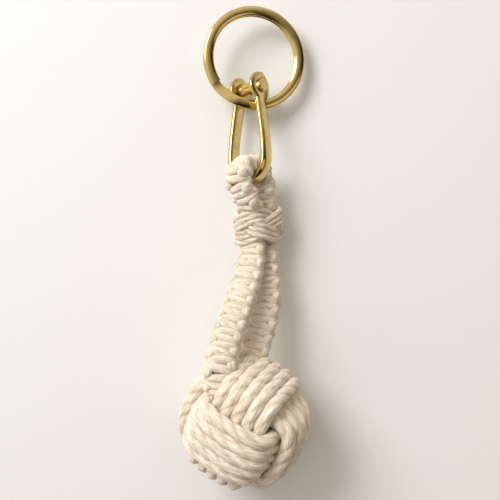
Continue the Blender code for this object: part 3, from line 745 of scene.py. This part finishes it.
def knotting_points(total, face, reach, height):
    """A working cord's way: bars over one face, bumps round the edges over the other cord's bars."""
    bar_pitch = KNOT_PITCH / 2
    chance = np.random.RandomState(BAR_SEED + face)
    points = []
    for bar in range(round(total / bar_pitch)):
        hand = face * (1 if bar % 2 == 0 else -1)
        start = (bar + 0.5) * bar_pitch + chance.uniform(-BAR_SHIFT, BAR_SHIFT)
        lift = height * face * (1 + chance.uniform(-BAR_LIFT, BAR_LIFT))
        for across, up, along in KNOTTING_STEPS:
            points.append((hand * across * reach, up * lift, start + along * bar_pitch))
    return points


# Keeper

def keeper_outline():
    """Closed line round both legs in the keeper's cross-section, at the height of its middle layer."""
    pressed = STRAP_THICKNESS * KEEPER_PRESS
    flat = STRAP_WIDTH / 2 * KEEPER_SQUEEZE - pressed / 2
    stack = (pressed + LEG_GAP) / 2
    side = LEG_SIDE_STEP / 2
    corners = [(flat - side, stack), (-flat - side, stack), (side - flat, -stack), (side + flat, -stack)]
    points = []
    normals = []
    for k, corner in enumerate(corners):
        before = np.subtract(corner, corners[k - 1])
        after = np.subtract(corners[(k + 1) % 4], corner)
        start = math.atan2(before[1], before[0]) - math.pi / 2
        turn = (math.atan2(after[1], after[0]) - math.pi / 2 - start) % (2 * math.pi)
        for angle in np.linspace(start, start + turn, CORNER_POINTS):
            normals.append((math.cos(angle), math.sin(angle)))
            points.append(np.add(corner, KEEPER_OFFSET * np.array(normals[-1])))
    points.append(points[0])
    normals.append(normals[0])
    return np.array(points), np.array(normals)


def keeper_route():
    """A Turk's head followed round again: each pass lies beside the one before."""
    outline, normals = keeper_outline()
    lengths = arc_lengths(outline)
    around = lengths[-1]
    middle, axis, width, up = keeper_frame()
    total = 2 * math.pi * PASS_COUNT
    count = LEAD_COUNT * PASS_COUNT * KEEPER_POINTS
    height = KEEPER_HALF_LENGTH / math.asin(KEEPER_ZIGZAG)
    points = []
    for turn in np.linspace(PASS_CHANGE, total - PASS_CHANGE, count):
        done = sum(smooth_step((turn - 2 * math.pi * k + PASS_CHANGE) / (2 * PASS_CHANGE))
                   for k in range(1, PASS_COUNT))
        aside = PASS_SPACING * (done - (PASS_COUNT - 1) / 2)
        angle = LEAD_COUNT * turn + math.pi
        place = KEEPER_FRONT + around / (2 * math.pi) * (angle + KEEPER_STRETCH * math.sin(angle))
        bend = KEEPER_ZIGZAG * math.cos(BIGHT_COUNT * turn)
        along = height * math.asin(bend) + KEEPER_RISE
        run = around * LEAD_COUNT / (2 * math.pi) * (1 + KEEPER_STRETCH * math.cos(angle))
        climb = (-height * BIGHT_COUNT * KEEPER_ZIGZAG * math.sin(BIGHT_COUNT * turn)
                 / math.sqrt(1 - bend * bend))
        slope = math.hypot(run, climb)
        place -= aside * climb / slope
        along += aside * run / slope
        wave = KEEPER_CROSSING * math.sin(2 * BIGHT_COUNT * turn)
        lift = KEEPER_LIFT * math.tanh(wave) / math.tanh(KEEPER_CROSSING)
        flat = sample(outline, lengths, np.array([place % around]))[0]
        normal = unit(sample(normals, lengths, np.array([place % around]))[0])
        flat = flat + normal * lift
        points.append(middle + width * flat[0] + up * flat[1] + axis * along)
    return np.array(points)


# Brass

def bow_half_width():
    return (STRAP_WIDTH + STRIP_THICKNESS) / 2 + STRAP_SIDE_PLAY


def bow_centre_line():
    """Half of the strip's middle line, from the top of the ear to the crown, in the x y plane."""
    ear_middle = (EAR_GAP + STRIP_THICKNESS) / 2
    arm_length = BOW_LENGTH - CROWN_HEIGHT
    downs = [-EAR_RADIUS * math.cos(math.radians(degrees)) for degrees in range(EAR_STEP, 180, EAR_STEP)]
    downs += list(np.linspace(EAR_RADIUS * ARM_START, arm_length, ARM_POINTS))
    spread_out = bow_half_width() - ear_middle
    points = [(ear_middle + spread_out * math.sin(max(down, 0) / arm_length * math.pi / 2) ** ARM_FLARE, down)
              for down in downs]
    for degrees in range(CROWN_STEP, 91, CROWN_STEP):
        turn = math.radians(degrees)
        points.append((bow_half_width() * math.cos(turn), arm_length + CROWN_HEIGHT * math.sin(turn)))
    return points


def strip_half_width(down):
    """Half the strip's width at a distance below the pin: round at the ear, then plain."""
    ear = math.sqrt(max(EAR_RADIUS ** 2 - down ** 2, 0.0))
    plain = STRIP_WIDTH / 2 if down > 0 else 0.0
    return (ear ** EAR_BLEND + plain ** EAR_BLEND) ** (1 / EAR_BLEND)


def soft_box(half_across, half_up, points=32, across_power=0.5, up_power=0.4):
    """Points round a box with soft corners: a power of 1 rounds that way fully, and 0 leaves it square."""
    turns = 2 * math.pi * (np.arange(points) + 0.5) / points
    across, up = np.cos(turns), np.sin(turns)
    return np.stack([half_across * np.sign(across) * np.abs(across) ** across_power,
                     half_up * np.sign(up) * np.abs(up) ** up_power], axis=1)


def strip_outline(half_width):
    """Points round the bow's strip: its outer face is higher in the middle than at its edges."""
    outline = soft_box(STRIP_THICKNESS / 2, half_width)
    outside = outline[:, 0] < 0
    outline[outside, 0] *= 1 - 2 * STRIP_SWELL / STRIP_THICKNESS * (outline[outside, 1] / half_width) ** 2
    return outline


def bow_rings():
    half = bow_centre_line()
    line = half + [(-x, down) for x, down in half[-2::-1]]
    line = np.array([(x, BOW_LENGTH - down) for x, down in line])
    ahead = unit(np.gradient(line, axis=0))
    rings = []
    for middle, step in zip(line, ahead):
        section = strip_outline(strip_half_width(BOW_LENGTH - middle[1]))
        rings.append([(middle[0] + step[1] * a, middle[1] - step[0] * a, b) for a, b in section])
    return np.array(rings)


def cut_from(mesh_name, target, cutter):
    """Cuts one object out of another, and gives back the mesh that is left of it."""
    modifier = target.modifiers.new("cut", "BOOLEAN")
    modifier.operation = "DIFFERENCE"
    modifier.solver = "EXACT"
    modifier.object = cutter
    bpy.context.view_layer.update()
    graph = bpy.context.evaluated_depsgraph_get()
    result = bpy.data.meshes.new_from_object(target.evaluated_get(graph))
    result.name = mesh_name
    for item in (target, cutter):
        bpy.data.objects.remove(item)
    result.shade_smooth()
    result.set_sharp_from_angle(angle=math.radians(SHARP_EDGE))
    return result


def loose_object(mesh):
    item = bpy.data.objects.new(mesh.name, mesh)
    bpy.context.scene.collection.objects.link(item)
    return item


def cylinder_mesh(name, radius, start, end, segments=96):
    """A round bar along x."""
    turns = 2 * math.pi * np.arange(segments) / segments
    circle = np.stack([np.zeros(segments), radius * np.cos(turns), radius * np.sin(turns)], axis=1)
    return tube_mesh(name, np.array([circle + (start, 0, 0), circle + (end, 0, 0)]))


def bow_mesh():
    bow = loose_object(tube_mesh("bow_blank", bow_rings()))
    reach = EAR_GAP + 2 * STRIP_THICKNESS
    radius = PIN_DIAMETER / 2 + PIN_CLEARANCE
    hole = loose_object(cylinder_mesh("pin_hole", radius, -reach, reach))
    hole.location = (0, BOW_LENGTH, 0)
    return cut_from("shackle_bow_polished", bow, hole)


def pin_mesh(pitch):
    """A turned pin with its thread, laid along x from the slotted head to the threaded end."""
    ear_outside = EAR_GAP / 2 + STRIP_THICKNESS
    tip = ear_outside + PIN_PROUD
    head_inside = -ear_outside - HEAD_STANDOFF
    head_outside = head_inside - HEAD_THICKNESS
    shank = PIN_DIAMETER / 2
    head = HEAD_DIAMETER / 2
    profile = [(head_outside, END_FACE * head), (head_outside, head - HEAD_ROUNDING)]
    for degrees in (20, 45, 70, 90):
        turn = math.radians(degrees)
        profile.append((head_outside + HEAD_ROUNDING * (1 - math.cos(turn)),
                        head - HEAD_ROUNDING * (1 - math.sin(turn))))
    profile += [(head_inside - HEAD_CHAMFER, head), (head_inside, head - HEAD_CHAMFER), (head_inside, shank)]
    thread_start = EAR_GAP / 2 - THREAD_RUN_IN
    thread_end = tip - TIP_CHAMFER_LENGTH
    profile.append((thread_start, shank))
    profile += [(place, THREADED) for place in np.arange(thread_start, thread_end, THREAD_STEP)]
    profile += [(thread_end, shank * THREAD_END), (tip, shank - TIP_CHAMFER_DEPTH), (tip, END_FACE * shank)]
    turns = 2 * math.pi * np.arange(PIN_SIDES) / PIN_SIDES
    rings = []
    for place, radius in profile:
        if radius == THREADED:
            phase = (place / pitch - turns / (2 * math.pi)) % 1.0
            into = smooth_step((place - thread_start) / pitch)
            radii = shank - THREAD_DEPTH * into * (1 - np.abs(2 * phase - 1))
        else:
            radii = np.full(PIN_SIDES, radius)
        rings.append(np.stack([np.full(PIN_SIDES, place), radii * np.cos(turns), radii * np.sin(turns)],
                              axis=1))
    pin = loose_object(tube_mesh("pin_blank", np.array(rings)))
    slot = bpy.data.meshes.new("pin_slot")
    body = bmesh.new()
    bmesh.ops.create_cube(body, size=1.0)
    bmesh.ops.scale(body, vec=(2 * SLOT_DEPTH, SLOT_WIDTH, 2 * HEAD_DIAMETER), verts=body.verts)
    body.to_mesh(slot)
    body.free()
    cutter = loose_object(slot)
    cutter.location = (head_outside, 0, 0)
    cutter.rotation_euler = (math.radians(90 + SLOT_TURN), 0, 0)
    return cut_from("shackle_pin_turned", pin, cutter)


def ring_mesh():
    """Two turns of flattened wire with one step between them."""
    radius = (RING_DIAMETER - RING_WIRE_WIDTH) / 2
    rise = RING_WIRE_THICKNESS + COIL_GAP
    margin = RAMP_ANGLE / 2 + math.degrees(COIL_GAP / radius)
    section = soft_box(RING_WIRE_WIDTH / 2, RING_WIRE_THICKNESS / 2, points=28, across_power=0.9,
                       up_power=1.0)
    rings = []
    for degrees in np.linspace(margin, 720 - margin, RING_POINTS):
        share = smooth_step((degrees - 360 + RAMP_ANGLE / 2) / RAMP_ANGLE)
        turn = math.radians(degrees + RING_STEP_ANGLE)
        height = rise * (share - 0.5)
        rings.append([((radius + a) * math.cos(turn), (radius + a) * math.sin(turn), height + b)
                      for a, b in section])
    mesh = tube_mesh("split_ring_polished", np.array(rings))
    mesh.set_sharp_from_angle(angle=math.radians(RING_SHARP_EDGE))
    return mesh


def placed(mesh, matrix):
    """Moves a mesh from its own axes into the fob's, facing outwards."""
    mesh.transform(matrix)
    body = bmesh.new()
    body.from_mesh(mesh)
    bmesh.ops.recalc_face_normals(body, faces=body.faces)
    body.to_mesh(mesh)
    body.free()
    return mesh


# Camera, floor and light

def add_camera(scene):
    """Looks straight down on the fob."""
    shift = fob_shift()
    camera = bpy.data.objects.new("camera", bpy.data.cameras.new("camera"))
    camera.data.lens = CAMERA_LENS
    camera.data.sensor_width = SENSOR_WIDTH
    camera.data.clip_start = NEAREST_SEEN
    camera.location = (shift[0], shift[1], CAMERA_HEIGHT)
    scene.collection.objects.link(camera)
    scene.camera = camera
    scene.view_settings.view_transform = "Standard"


def add_floor(colours):
    mesh = bpy.data.meshes.new("floor")
    corners = [(x * FLOOR_REACH, y * FLOOR_REACH, 0) for x, y in ((-1, -1), (1, -1), (1, 1), (-1, 1))]
    mesh.from_pydata(corners, [], [(0, 1, 2, 3)])
    mesh.materials.append(floor_material("pale_floor", colours))
    floor = loose_object(mesh)


def add_lamps(scene):
    for name, place, width, power, tint in LAMPS:
        lamp = bpy.data.objects.new(name, bpy.data.lights.new(name, "AREA"))
        lamp.data.energy = power
        lamp.data.size = width
        lamp.data.color = tint
        lamp.location = place
        aim = Vector(LAMP_AIM) - Vector(place)
        lamp.rotation_euler = aim.to_track_quat("-Z", "Y").to_euler()
        scene.collection.objects.link(lamp)


def light_room(scene):
    """The world's light, as colours by direction."""
    world = scene.world or bpy.data.worlds.new("room")
    scene.world = world
    world.use_nodes = True
    tree = world.node_tree
    direction = add_node(tree, "ShaderNodeTexCoord").outputs["Generated"]
    parts = add_node(tree, "ShaderNodeSeparateXYZ", Vector=direction).outputs
    toward = calculate(tree, "ADD", calculate(tree, "MULTIPLY", parts["X"], TOWARDS_WINDOW[0]),
                       calculate(tree, "MULTIPLY", parts["Y"], TOWARDS_WINDOW[1]))
    sky = blend_colours(tree, spread(tree, toward, *ROOM_CHANGE), DARK_SIDE, BRIGHT_SIDE)
    sky = blend_colours(tree, spread(tree, parts["Z"], *HORIZON_HEIGHT), HORIZON_COLOUR, sky)
    set_inputs(tree, tree.nodes["Background"], Color=sky, Strength=ROOM_STRENGTH)


# Operators

class FobOperator:
    bl_options = {"REGISTER", "UNDO"}


class FOB_OT_stage(FobOperator, bpy.types.Operator):
    """Sets up the camera, the pale floor and the soft light"""
    bl_idname = "fob.stage"
    bl_label = "Camera, Floor and Light"

    def execute(self, context):
        add_camera(context.scene)
        add_floor(context.scene.fob_colours)
        add_lamps(context.scene)
        light_room(context.scene)
        return {"FINISHED"}


class FOB_OT_core(FobOperator, bpy.types.Operator):
    """Gives the turned ball inside the fist its wood"""
    bl_idname = "fob.core"
    bl_label = "Core Ball"

    def execute(self, context):
        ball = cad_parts["core_ball"]
        wood = wood_material("turned_wood", context.scene.fob_colours)
        if not ball.data.materials:
            ball.data.materials.append(wood)
        for place in ball.material_slots:
            place.material = wood
        return {"FINISHED"}


class FOB_OT_fist(FobOperator, bpy.types.Operator):
    """Winds the three crossing bands of the fist from one twisted cord"""
    bl_idname = "fob.fist"
    bl_label = "Fist"

    def execute(self, context):
        sizes = context.scene.fob_sizes
        turned = fist_route() @ np.array(fist_turn()).T + fist_middle()
        route = softened(smooth_curve(turned, steps=10), rounds=6)
        mesh = cord_mesh("fist_cord_twisted", route, sizes.fist_cord, sizes.fist_lay, seed=11, sides=36,
                         depth=0.4, yarn=0.065)
        cotton = cotton_material("fist_cotton_cord", context.scene.fob_colours, coarse=1.5, ply_shade_share=0.6)
        add_piece("fist_cord_twisted", mesh, "fob", cotton, "fist_cotton", "fist_cord")
        return {"FINISHED"}


class FOB_OT_strap(FobOperator, bpy.types.Operator):
    """Ties the strap: two working cords in square knots round two filler cords"""
    bl_idname = "fob.strap"
    bl_label = "Strap"

    def execute(self, context):
        sizes = context.scene.fob_sizes
        cotton = cotton_material("strap_cotton_cord", context.scene.fob_colours, coarse=2.2, ply_shade_share=0.4)
        line, widths = strap_route()
        total = arc_lengths(line)[-1]
        height = (sizes.filler_cord + sizes.strap_cord) / 2 - BAR_SINK
        reach = (STRAP_WIDTH + EDGE_ROOM - sizes.strap_cord) / 2
        for name, face, nodes in (("knotting_cord_front", 1, ("knotted_strap",)),
                                  ("knotting_cord_back", -1, ())):
            points = on_strap(line, widths, knotting_points(total, face, reach, height))
            mesh = cord_mesh(name, smooth_curve(points, steps=8), sizes.strap_cord, STRAP_LAY,
                             seed=31 + face, sides=20, depth=0.2, step=0.3 * MM, yarn=0.06)
            add_piece(name, mesh, "fob", cotton, "strap_cotton", *nodes)
        for name, side in (("filler_cord_left", -1), ("filler_cord_right", 1)):
            across = side * (sizes.filler_cord / 2 + FILLER_ASIDE)
            places = np.linspace(0, total, FILLER_POINTS)
            points = on_strap(line, widths, [(across, 0, place) for place in places])
            mesh = cord_mesh(name + "_twisted", points, sizes.filler_cord, FILLER_LAY, seed=41 + side,
                             sides=15, depth=0.3, step=0.5 * MM)
            add_piece(name + "_twisted", mesh, "fob", cotton, "filler_cotton", name)
        return {"FINISHED"}


class FOB_OT_keeper(FobOperator, bpy.types.Operator):
    """Ties the keeper, a Turk's head round both legs of the strap"""
    bl_idname = "fob.keeper"
    bl_label = "Keeper Knot"

    def execute(self, context):
        sizes = context.scene.fob_sizes
        mesh = cord_mesh("keeper_knot_twisted", keeper_route(), sizes.keeper_cord, KEEPER_LAY, seed=51,
                         sides=24, depth=0.3, step=0.3 * MM)
        cotton = cotton_material("keeper_cotton_cord", context.scene.fob_colours, coarse=2.2, ply_shade_share=0.75)
        add_piece("keeper_knot_twisted", mesh, "fob", cotton, "keeper_cotton", "keeper_knot")
        return {"FINISHED"}


class FOB_OT_bow(FobOperator, bpy.types.Operator):
    """Bends the shackle's bow and pierces its ears"""
    bl_idname = "fob.bow"
    bl_label = "Shackle Bow"

    def execute(self, context):
        brass = brass_material("bow_brass_polished", context.scene.fob_colours, roughness=0.16)
        add_piece("shackle_bow_polished", placed(bow_mesh(), bow_matrix()), "bow", brass, "shackle_brass",
                  "shackle_bow")
        return {"FINISHED"}


class FOB_OT_pin(FobOperator, bpy.types.Operator):
    """Turns the shackle's pin with its slotted head and thread"""
    bl_idname = "fob.pin"
    bl_label = "Shackle Pin"

    def execute(self, context):
        brass = brass_material("pin_brass_turned", context.scene.fob_colours, roughness=0.2)
        matrix = bow_matrix() @ Matrix.Translation((0, BOW_LENGTH, 0))
        mesh = placed(pin_mesh(context.scene.fob_sizes.thread_pitch), matrix)
        add_piece("shackle_pin_turned", mesh, "pin", brass, "shackle_brass", "shackle_pin")
        return {"FINISHED"}


class FOB_OT_ring(FobOperator, bpy.types.Operator):
    """Coils the split key ring"""
    bl_idname = "fob.ring"
    bl_label = "Split Ring"

    def execute(self, context):
        brass = brass_material("ring_brass_polished", context.scene.fob_colours, roughness=0.13)
        turn = Euler([math.radians(angle) for angle in RING_TILT]).to_matrix().to_4x4()
        centre = Matrix.Translation(Vector((0, BOW_LENGTH, 0)) + Vector(RING_FROM_PIN))
        mesh = placed(ring_mesh(), bow_matrix() @ centre @ turn)
        add_piece("split_ring_polished", mesh, "ring", brass, "ring_brass", "split_ring")
        return {"FINISHED"}


class FOB_PT_panel(bpy.types.Panel):
    """Lists the fob's sizes, colours and pieces"""
    bl_idname = "FOB_PT_panel"
    bl_label = "Monkey Fist Key Fob"
    bl_space_type = "VIEW_3D"
    bl_region_type = "UI"
    bl_category = "Key Fob"

    def draw(self, context):
        for settings in (context.scene.fob_sizes, context.scene.fob_colours):
            box = self.layout.box()
            for name in settings.__annotations__:
                box.prop(settings, name)
        for operator in OPERATORS:
            self.layout.operator(operator.bl_idname)


OPERATORS = (FOB_OT_stage, FOB_OT_core, FOB_OT_fist, FOB_OT_strap, FOB_OT_keeper, FOB_OT_bow, FOB_OT_pin,
             FOB_OT_ring)
CLASSES = (FobSizes, FobColours, *OPERATORS, FOB_PT_panel)


def register():
    for item in CLASSES:
        bpy.utils.register_class(item)
    bpy.types.Scene.fob_sizes = bpy.props.PointerProperty(type=FobSizes)
    bpy.types.Scene.fob_colours = bpy.props.PointerProperty(type=FobColours)


def unregister():
    del bpy.types.Scene.fob_colours
    del bpy.types.Scene.fob_sizes
    for item in reversed(CLASSES):
        bpy.utils.unregister_class(item)


def main():
    register()
    bpy.ops.fob.stage()
    bpy.ops.fob.core()
    bpy.ops.fob.fist()
    bpy.ops.fob.strap()
    bpy.ops.fob.keeper()
    bpy.ops.fob.bow()
    bpy.ops.fob.pin()
    bpy.ops.fob.ring()


if __name__ == "__main__":
    main()
